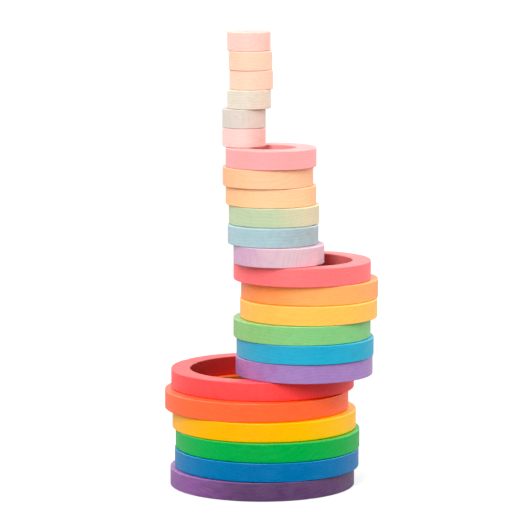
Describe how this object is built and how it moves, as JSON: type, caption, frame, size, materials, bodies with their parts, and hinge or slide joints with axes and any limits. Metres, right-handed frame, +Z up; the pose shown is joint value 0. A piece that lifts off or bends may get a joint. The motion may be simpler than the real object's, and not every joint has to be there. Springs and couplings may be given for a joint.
{
  "type": "stacking ring toy",
  "caption": "Leaning tower of loose flat wooden rings in graded sizes and rainbow stains; each ring lies on the one below and a smaller size nests in a larger ring's hole.",
  "frame": {"origin": "on the surface the tower stands on, halfway between its outermost rims, seen from above", "axes": "+Z up through the pile; +X to the right and +Y away, seen from the front, where the medium rings stand out to the right of the large ones"},
  "size_m": [0.1388, 0.1379, 0.2949],
  "materials": {
    "large_violet_stain": "fine pale wood rubbed with a thin violet stain, grain showing through, satin",
    "large_blue_stain": "fine pale wood rubbed with a thin blue stain, grain showing through, satin",
    "large_green_stain": "fine pale wood rubbed with a thin green stain, grain showing through, satin",
    "large_yellow_stain": "fine pale wood rubbed with a thin yellow stain, grain showing through, satin",
    "large_orange_stain": "fine pale wood rubbed with a thin orange stain, grain showing through, satin",
    "large_red_stain": "fine pale wood rubbed with a thin red stain, grain showing through, satin",
    "medium_violet_stain": "fine pale wood rubbed with a thin violet stain, grain showing through, satin",
    "medium_sky_blue_stain": "fine pale wood rubbed with a thin sky blue stain, grain showing through, satin",
    "medium_green_stain": "fine pale wood rubbed with a thin green stain, grain showing through, satin",
    "medium_yellow_stain": "fine pale wood rubbed with a thin yellow stain, grain showing through, satin",
    "medium_orange_stain": "fine pale wood rubbed with a thin orange stain, grain showing through, satin",
    "medium_coral_stain": "fine pale wood rubbed with a thin coral stain, grain showing through, satin",
    "small_lilac_stain": "fine pale wood rubbed with a thin lilac stain, grain showing through, satin",
    "small_pale_blue_stain": "fine pale wood rubbed with a thin pale blue stain, grain showing through, satin",
    "small_pale_green_stain": "fine pale wood rubbed with a thin pale green stain, grain showing through, satin",
    "small_pale_yellow_stain": "fine pale wood rubbed with a thin pale yellow stain, grain showing through, satin",
    "small_apricot_stain": "fine pale wood rubbed with a thin apricot stain, grain showing through, satin",
    "small_pink_stain": "fine pale wood rubbed with a thin pink stain, grain showing through, satin",
    "mini_rose_lilac_stain": "fine pale wood rubbed with a thin rose lilac stain, grain showing through, satin",
    "mini_grey_blue_stain": "fine pale wood rubbed with a thin grey blue stain, grain showing through, satin",
    "mini_cream_green_stain": "fine pale wood rubbed with a thin cream green stain, grain showing through, satin",
    "mini_apricot_cream_stain": "fine pale wood rubbed with a thin apricot cream stain, grain showing through, satin",
    "mini_peach_stain": "fine pale wood rubbed with a thin peach stain, grain showing through, satin",
    "mini_blush_stain": "fine pale wood rubbed with a thin blush stain, grain showing through, satin"
  },
  "bodies": {
    "large_violet_ring": {"large_violet_ring": "large_violet_stain"},
    "large_blue_ring": {"large_blue_ring": "large_blue_stain"},
    "large_green_ring": {"large_green_ring": "large_green_stain"},
    "large_yellow_ring": {"large_yellow_ring": "large_yellow_stain"},
    "large_orange_ring": {"large_orange_ring": "large_orange_stain"},
    "large_red_ring": {"large_red_ring": "large_red_stain"},
    "medium_violet_ring": {"medium_violet_ring": "medium_violet_stain"},
    "medium_sky_blue_ring": {"medium_sky_blue_ring": "medium_sky_blue_stain"},
    "medium_green_ring": {"medium_green_ring": "medium_green_stain"},
    "medium_yellow_ring": {"medium_yellow_ring": "medium_yellow_stain"},
    "medium_orange_ring": {"medium_orange_ring": "medium_orange_stain"},
    "medium_coral_ring": {"medium_coral_ring": "medium_coral_stain"},
    "small_lilac_ring": {"small_lilac_ring": "small_lilac_stain"},
    "small_pale_blue_ring": {"small_pale_blue_ring": "small_pale_blue_stain"},
    "small_pale_green_ring": {"small_pale_green_ring": "small_pale_green_stain"},
    "small_pale_yellow_ring": {"small_pale_yellow_ring": "small_pale_yellow_stain"},
    "small_apricot_ring": {"small_apricot_ring": "small_apricot_stain"},
    "small_pink_ring": {"small_pink_ring": "small_pink_stain"},
    "mini_rose_lilac_ring": {"mini_rose_lilac_ring": "mini_rose_lilac_stain"},
    "mini_grey_blue_ring": {"mini_grey_blue_ring": "mini_grey_blue_stain"},
    "mini_cream_green_ring": {"mini_cream_green_ring": "mini_cream_green_stain"},
    "mini_apricot_cream_ring": {"mini_apricot_cream_ring": "mini_apricot_cream_stain"},
    "mini_peach_ring": {"mini_peach_ring": "mini_peach_stain"},
    "mini_blush_ring": {"mini_blush_ring": "mini_blush_stain"}
  },
  "joints": [
    {"name": "lift_large_blue_ring", "type": "slide", "parent": "large_violet_ring", "child": "large_blue_ring", "axis": [0, 0, 1], "range_m": [0, 0.02]},
    {"name": "lift_large_green_ring", "type": "slide", "parent": "large_blue_ring", "child": "large_green_ring", "axis": [0, 0, 1], "range_m": [0, 0.02]},
    {"name": "lift_large_yellow_ring", "type": "slide", "parent": "large_green_ring", "child": "large_yellow_ring", "axis": [0, 0, 1], "range_m": [0, 0.02]},
    {"name": "lift_large_orange_ring", "type": "slide", "parent": "large_yellow_ring", "child": "large_orange_ring", "axis": [0, 0, 1], "range_m": [0, 0.02]},
    {"name": "lift_large_red_ring", "type": "slide", "parent": "large_orange_ring", "child": "large_red_ring", "axis": [0, 0, 1], "range_m": [0, 0.02]},
    {"name": "lift_medium_violet_ring", "type": "slide", "parent": "large_red_ring", "child": "medium_violet_ring", "axis": [0, 0, 1], "range_m": [0, 0.02]},
    {"name": "lift_medium_sky_blue_ring", "type": "slide", "parent": "medium_violet_ring", "child": "medium_sky_blue_ring", "axis": [0, 0, 1], "range_m": [0, 0.02]},
    {"name": "lift_medium_green_ring", "type": "slide", "parent": "medium_sky_blue_ring", "child": "medium_green_ring", "axis": [0, 0, 1], "range_m": [0, 0.02]},
    {"name": "lift_medium_yellow_ring", "type": "slide", "parent": "medium_green_ring", "child": "medium_yellow_ring", "axis": [0, 0, 1], "range_m": [0, 0.02]},
    {"name": "lift_medium_orange_ring", "type": "slide", "parent": "medium_yellow_ring", "child": "medium_orange_ring", "axis": [0, 0, 1], "range_m": [0, 0.02]},
    {"name": "lift_medium_coral_ring", "type": "slide", "parent": "medium_orange_ring", "child": "medium_coral_ring", "axis": [0, 0, 1], "range_m": [0, 0.02]},
    {"name": "lift_small_lilac_ring", "type": "slide", "parent": "medium_coral_ring", "child": "small_lilac_ring", "axis": [0, 0, 1], "range_m": [0, 0.02]},
    {"name": "lift_small_pale_blue_ring", "type": "slide", "parent": "small_lilac_ring", "child": "small_pale_blue_ring", "axis": [0, 0, 1], "range_m": [0, 0.02]},
    {"name": "lift_small_pale_green_ring", "type": "slide", "parent": "small_pale_blue_ring", "child": "small_pale_green_ring", "axis": [0, 0, 1], "range_m": [0, 0.02]},
    {"name": "lift_small_pale_yellow_ring", "type": "slide", "parent": "small_pale_green_ring", "child": "small_pale_yellow_ring", "axis": [0, 0, 1], "range_m": [0, 0.02]},
    {"name": "lift_small_apricot_ring", "type": "slide", "parent": "small_pale_yellow_ring", "child": "small_apricot_ring", "axis": [0, 0, 1], "range_m": [0, 0.02]},
    {"name": "lift_small_pink_ring", "type": "slide", "parent": "small_apricot_ring", "child": "small_pink_ring", "axis": [0, 0, 1], "range_m": [0, 0.02]},
    {"name": "lift_mini_rose_lilac_ring", "type": "slide", "parent": "small_pink_ring", "child": "mini_rose_lilac_ring", "axis": [0, 0, 1], "range_m": [0, 0.02]},
    {"name": "lift_mini_grey_blue_ring", "type": "slide", "parent": "mini_rose_lilac_ring", "child": "mini_grey_blue_ring", "axis": [0, 0, 1], "range_m": [0, 0.02]},
    {"name": "lift_mini_cream_green_ring", "type": "slide", "parent": "mini_grey_blue_ring", "child": "mini_cream_green_ring", "axis": [0, 0, 1], "range_m": [0, 0.02]},
    {"name": "lift_mini_apricot_cream_ring", "type": "slide", "parent": "mini_cream_green_ring", "child": "mini_apricot_cream_ring", "axis": [0, 0, 1], "range_m": [0, 0.02]},
    {"name": "lift_mini_peach_ring", "type": "slide", "parent": "mini_apricot_cream_ring", "child": "mini_peach_ring", "axis": [0, 0, 1], "range_m": [0, 0.02]},
    {"name": "lift_mini_blush_ring", "type": "slide", "parent": "mini_peach_ring", "child": "mini_blush_ring", "axis": [0, 0, 1], "range_m": [0, 0.02]}
  ]
}
